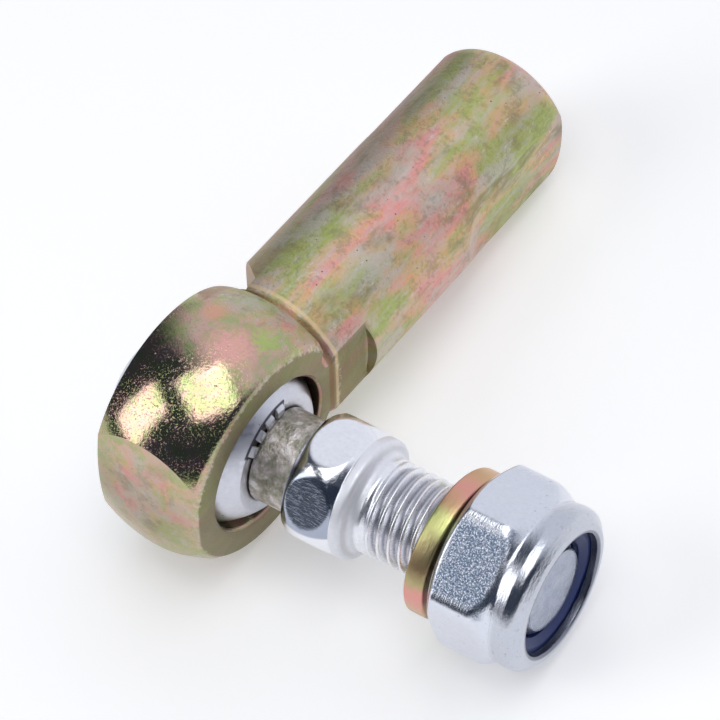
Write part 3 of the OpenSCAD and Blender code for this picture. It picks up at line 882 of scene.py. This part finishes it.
class JOINT_OT_ring(bpy.types.Operator):
    """Ring behind the ball"""
    bl_idname = "joint.ring"
    bl_label = "Retaining ring"

    def execute(self, context):
        mouth = math.sqrt(SEAT_R ** 2 - RING_OUT ** 2)
        seat = np.linspace(RING_OUT, RING_IN, 24)
        wall = np.stack([np.sqrt(SEAT_R ** 2 - seat ** 2), seat], -1)
        outside = rounded([
            (wall[-1, 0], RING_IN, 0), (RING_R, RING_IN, 0.1),
            (RING_R, RING_EDGE_OUT - RING_BEVEL, 0.1), (RING_R - RING_BEVEL, RING_EDGE_OUT, 0.15),
            (mouth + RING_LAND, RING_OUT, 0.15), (mouth, RING_OUT, 0),
        ])
        profile = finer(np.concatenate([outside, wall[1:]]), 0.8)
        points = about_axis(*carried_round(profile, columns=180), SHANK, RISE, -FRONT)
        mesh = skin("ring_skin", points)
        new_piece("ring_skin", mesh, "ring", "ring_white_zinc", white_zinc, "retaining_ring")
        return {"FINISHED"}


class JOINT_OT_ball(bpy.types.Operator):
    """Ball with its flat, its staked tabs and exact normals"""
    bl_idname = "joint.ball"
    bl_label = "Ball"

    def execute(self, context):
        mesh = merged_copy("ball", "ball_skin")
        true_normals(mesh, [ball_shape((0, 0, 0), BALL_R), rod_shape(STUD, TAIL_R + 0.05)])
        new_piece("ball_skin", mesh, "ball", "ball_white_zinc", white_zinc, "ball")
        return {"FINISHED"}


class JOINT_OT_stud(bpy.types.Operator):
    """Stud with its hexagon, shoulder and rolled thread"""
    bl_idname = "joint.stud"
    bl_label = "Stud"

    def execute(self, context):
        middle = (HEX_IN + HEX_OUT) / 2
        end_r = HEX_CORNER_R - HEX_BARREL_R + math.sqrt(HEX_BARREL_R ** 2 - (middle - HEX_IN) ** 2)
        back = rounded([
            (0, TAIL_END, 0), (TAIL_R, TAIL_END, 0.3), (TAIL_R, NECK_OUT, 0.1),
            (NECK_R, NECK_OUT, 0.08), (NECK_R, HEX_IN, 0.25), (end_r, HEX_IN, 0),
        ])
        back = finer(back, 1.0)
        barrel_out = np.linspace(HEX_IN, HEX_OUT, 60)
        barrel = HEX_CORNER_R - HEX_BARREL_R + np.sqrt(HEX_BARREL_R ** 2 - (barrel_out - middle) ** 2)
        hexagonal = np.stack([barrel, barrel_out], -1)
        shoulder = rounded([
            (end_r, HEX_OUT, 0), (SHOULDER_R, HEX_OUT, 0.6), (SHOULDER_R, SHOULDER_OUT, 0.6),
            (THREAD_R, SHOULDER_OUT, FILLET), (THREAD_R, SHOULDER_OUT + FILLET + 0.3, 0),
        ], 8)
        thread_out = np.arange(THREAD_START, STUD_END - 0.001, PITCH / THREAD_ROWS)
        thread = np.stack([np.full_like(thread_out, THREAD_R), thread_out], -1)
        end_face = THREAD_R - STUD_CHAMFER
        tip = np.array([(end_face, STUD_END), (end_face - 0.4, STUD_END), (0, STUD_END)])
        profile = np.concatenate([back, hexagonal, finer(shoulder, 0.5), thread, tip])
        radius, turn, out = carried_round(profile, columns=144)
        inside = slice(len(back), len(back) + len(hexagonal))
        flats = hexagon(turn[inside], HEX_AF, HEX_TURN)
        radius[inside] = softly_least(radius[inside], flats, HEX_BLEND)
        rolled = slice(len(profile) - len(tip) - len(thread), len(profile) - len(tip))
        depth = context.scene.ball_joint.thread_depth / MM
        radius[rolled] = rolled_thread(turn[rolled], out[rolled], depth)
        points = about_axis(radius, turn, out, SIDE, ABOVE, STUD)
        mesh = skin("stud_skin", points)
        new_piece("stud_skin", mesh, "stud", "stud_white_zinc", stud_zinc, "stud")
        return {"FINISHED"}


class JOINT_OT_washer(bpy.types.Operator):
    """Split spring washer"""
    bl_idname = "joint.washer"
    bl_label = "Spring washer"

    def execute(self, context):
        loop = rounded([
            (WASHER_IN_R, 0, 0), (WASHER_OUT_R, 0, WASHER_EDGE),
            (WASHER_OUT_R, WASHER_T, WASHER_EDGE), (WASHER_IN_R, WASHER_T, WASHER_EDGE),
            (WASHER_IN_R, 0, WASHER_EDGE), (WASHER_OUT_R, 0, 0),
        ], 6)[1:-1]
        steps = 160
        part = np.linspace(0, 1, steps)[:, None]
        turn = np.radians(WASHER_TURN + WASHER_CUT + part * (360 - WASHER_CUT))
        turn = np.broadcast_to(turn, (steps, len(loop)))
        radius = np.broadcast_to(loop[:, 0], turn.shape)
        out = NUT_IN - WASHER_GAP - WASHER_T + loop[:, 1] - part * WASHER_RISE
        points = about_axis(radius, turn, out, SIDE, ABOVE, STUD)
        caps = [np.repeat(points[i].mean(0)[None, None], len(loop), 1) for i in (0, -1)]
        points = np.concatenate([caps[0], points, caps[1]])
        mesh = skin("washer_skin", points, sharp=40)
        new_piece("washer_skin", mesh, "washer", "washer_yellow_zinc", yellow_zinc_washer, "spring_washer")
        return {"FINISHED"}


class JOINT_OT_nut(bpy.types.Operator):
    """Lock nut with its hexagon and crimped collar"""
    bl_idname = "joint.nut"
    bl_label = "Lock nut"

    def execute(self, context):
        hex_out = np.linspace(NUT_IN, NUT_HEX_OUT, 90)
        corner_r = NUT_AF / math.sqrt(3)
        collar_end = rounded([
            (COLLAR_R - COLLAR_TAPER, NUT_HEX_OUT, 0), (COLLAR_R, NUT_OUT - COLLAR_ROUND - 0.6, 0.8),
            (COLLAR_R - 0.1, NUT_OUT - 0.9, 1.0), (LIP_R + 1.0, NUT_OUT, 0.6),
            (LIP_R + 0.05, NUT_OUT, 0.25), (LIP_R, INSERT_OUT, 0.1), (INSERT_R, INSERT_OUT, 0),
        ], 8)
        inner = np.array([
            (INSERT_R, INSERT_OUT - INSERT_H), (NUT_BORE_R, INSERT_OUT - INSERT_H),
            (NUT_BORE_R, NUT_IN + NUT_MOUTH), (NUT_BORE_R + NUT_MOUTH, NUT_IN),
            (NUT_FACE_R - 0.1, NUT_IN),
        ])
        hexed = np.stack([np.full_like(hex_out, corner_r), hex_out], -1)
        profile = np.concatenate([hexed, finer(collar_end, 0.4), inner])
        radius, turn, out = carried_round(profile, columns=288)
        part = slice(0, len(hexed))
        slope = (corner_r - COLLAR_R + COLLAR_ROUND) / (NUT_CROWN + COLLAR_ROUND)
        crown = corner_r - (out[part] - NUT_HEX_OUT + NUT_CROWN) * slope
        chamfer = NUT_FACE_R + (out[part] - NUT_IN) / math.tan(math.radians(NUT_FACE_SLOPE))
        body = hexagon(turn[part], NUT_AF, NUT_TURN)
        body = softly_least(body, corner_r - NUT_CORNER_CUT, NUT_CORNER_BLEND)
        body = softly_least(body, crown, NUT_CROWN_BLEND)
        body = softly_least(body, chamfer, NUT_CORNER_BLEND)
        below = np.clip((NUT_HEX_OUT - out[part]) / COLLAR_RUN, 0, 1)
        collar = COLLAR_R - COLLAR_TAPER - COLLAR_UNDERCUT * below
        radius[part] = softly_most(body, collar, COLLAR_BLEND)
        points = about_axis(radius, turn, out, SIDE, ABOVE, STUD)
        points = np.concatenate([points, points[:1]])
        mesh = skin("nut_skin", points, sharp=50)
        new_piece("nut_skin", mesh, "nut", "nut_white_zinc", nut_zinc, "lock_nut")
        return {"FINISHED"}


class JOINT_OT_insert(bpy.types.Operator):
    """Nylon ring under the collar"""
    bl_idname = "joint.insert"
    bl_label = "Nylon insert"

    def execute(self, context):
        inner, outer, dish = NUT_BORE_R + 0.01, INSERT_R - 0.02, (NUT_BORE_R + INSERT_R) / 2
        foot, top = INSERT_OUT - INSERT_H + 0.02, INSERT_OUT - 0.01
        profile = rounded([
            (inner, foot, 0), (outer, foot, 0.1), (outer, top, 0.1), (dish, top, 0.25),
            (inner, INSERT_OUT - INSERT_H / 4, 0.1), (inner, foot, 0),
        ])
        points = about_axis(*carried_round(profile, columns=144), SIDE, ABOVE, STUD)
        mesh = skin("insert_skin", points, sharp=50)
        new_piece("insert_skin", mesh, "nut", "insert_blue_nylon", blue_nylon, "nylon_insert")
        return {"FINISHED"}


def background_rays(paint, mirrored=1.0):
    """1 for the rays that show the white background: the camera's, and mirrored ones by this share."""
    camera, glossy, through = (
        paint.node("ShaderNodeLightPath", out=f"Is {kind} Ray")
        for kind in ("Camera", "Glossy", "Transmission"))
    return camera.most(glossy.most(through) * mirrored)


class JOINT_OT_stage(bpy.types.Operator):
    """Floor, soft light and camera"""
    bl_idname = "joint.stage"
    bl_label = "Stage"

    def execute(self, context):
        settings = context.scene.ball_joint
        self.floor(settings)
        self.world(context.scene)
        self.lamps(settings.light)
        self.camera(context.scene, settings)
        context.scene.view_settings.view_transform = "Standard"
        return {"FINISHED"}

    def floor(self, settings):
        """A pale square under the part, whose glow shows only to the rays that see the background."""
        mesh = bpy.data.meshes.new("floor")
        corners = [(x * FLOOR_REACH, y * FLOOR_REACH, 0) for x, y in ((-1, -1), (1, -1), (1, 1), (-1, 1))]
        mesh.from_pydata(corners, [], [(0, 1, 2, 3)])
        floor = bpy.data.objects.new("floor", mesh)
        bpy.context.scene.collection.objects.link(floor)

        def pale(paint):
            light = background_rays(paint)
            diffuse = paint.node("ShaderNodeBsdfDiffuse", {}, {"Color": rgb(*settings.pale)})
            glow = paint.node("ShaderNodeEmission", {}, {"Color": rgb(1, 1, 1), "Strength": FLOOR_GLOW})
            both = paint.node("ShaderNodeAddShader", {}, {0: diffuse, 1: glow})
            shader = paint.node("ShaderNodeMixShader", {}, {0: light, 1: diffuse, 2: both})
            paint.node("ShaderNodeOutputMaterial", {}, {"Surface": shader})

        mesh.materials.append(material("floor_pale", pale))

    def world(self, scene):
        """White to the camera and near the horizon, otherwise a dark studio with one pale wall."""
        world = bpy.data.worlds.new("studio")
        world.use_nodes = True
        scene.world = world
        paint = Paint(world.node_tree)
        way = paint.node("ShaderNodeTexCoord", out="Generated")
        low = paint.step(paint.dot(way, (0.0, 0.0, 1.0)), *HORIZON_FADE)
        seen = background_rays(paint, low)
        wall = paint.step(paint.dot(way, unit(WALL_SIDE)), *WALL_FADE)
        light = paint.mix(wall, rgb(*DARK_LIGHT), rgb(*WALL_LIGHT))
        tent = paint.node("ShaderNodeBackground", {}, {"Color": light, "Strength": 1.0})
        white = paint.node("ShaderNodeBackground", {}, {"Color": rgb(1, 1, 1), "Strength": 1.0})
        both = paint.node("ShaderNodeMixShader", {}, {0: seen, 1: tent, 2: white})
        paint.node("ShaderNodeOutputWorld", {}, {"Surface": both})

    def lamps(self, power):
        """Soft boxes that face the part and share the power."""
        for name, direction, size, share in SOFT_BOXES:
            lamp = bpy.data.lights.new(name, "AREA")
            lamp.shape = "RECTANGLE"
            lamp.size, lamp.size_y = size
            lamp.energy = power * share
            holder = bpy.data.objects.new(name, lamp)
            bpy.context.scene.collection.objects.link(holder)
            away = Vector(unit(direction))
            holder.location = away * LAMP_REACH
            holder.rotation_euler = away.to_track_quat("Z", "Y").to_euler()

    def camera(self, scene, settings):
        """The photographer's camera."""
        camera = bpy.data.cameras.new("camera")
        camera.sensor_width = 36.0
        camera.lens = settings.lens
        camera.clip_start = 0.01
        holder = bpy.data.objects.new("camera", camera)
        scene.collection.objects.link(holder)
        place, right, up = camera_pose()
        back = np.cross(right, up)
        turn = Matrix(np.stack([right, up, back], -1).tolist())
        holder.matrix_world = Matrix.Translation(Vector(place)) @ turn.to_4x4()
        scene.camera = holder


def camera_pose():
    """The photographer's camera, turned the shortest way from its own aim to the joint's middle."""
    axes = np.stack([SHANK, -FRONT, RISE], -1)
    place = CENTRE + MM * axes @ np.array(CAMERA_PLACE)
    right = unit(axes @ np.array(CAMERA_RIGHT))
    up = axes @ np.array(CAMERA_UP)
    up = unit(up - (up @ right) * right)
    ahead = np.cross(up, right)
    target = unit(np.array(AIM) * MM - place)
    axis = np.cross(ahead, target)
    cross = np.array([[0, -axis[2], axis[1]], [axis[2], 0, -axis[0]], [-axis[1], axis[0], 0]])
    turn = np.eye(3) + cross + cross @ cross / (1 + ahead @ target)
    return place, turn @ right, turn @ up


class JOINT_PT_panel(bpy.types.Panel):
    """Buttons for each piece and the stage"""
    bl_idname = "JOINT_PT_panel"
    bl_label = "Ball joint"
    bl_space_type = "VIEW_3D"
    bl_region_type = "UI"
    bl_category = "Ball joint"

    def draw(self, context):
        settings = context.scene.ball_joint
        for name in SETTINGS:
            self.layout.prop(settings, name)
        for operator in OPERATORS:
            self.layout.operator(operator.bl_idname)


SETTINGS = ("thread_depth", "pink", "green", "nylon", "light", "lens", "pale")
OPERATORS = (
    JOINT_OT_housing, JOINT_OT_ring, JOINT_OT_ball, JOINT_OT_stud, JOINT_OT_washer, JOINT_OT_nut,
    JOINT_OT_insert, JOINT_OT_stage,
)
CLASSES = (JointSettings, *OPERATORS, JOINT_PT_panel)


def register():
    for made in CLASSES:
        bpy.utils.register_class(made)
    bpy.types.Scene.ball_joint = PointerProperty(type=JointSettings)


def unregister():
    del bpy.types.Scene.ball_joint
    for made in reversed(CLASSES):
        bpy.utils.unregister_class(made)


def main():
    register()
    for operator in OPERATORS:
        group, name = operator.bl_idname.split(".")
        getattr(getattr(bpy.ops, group), name)()


if __name__ == "__main__":
    main()
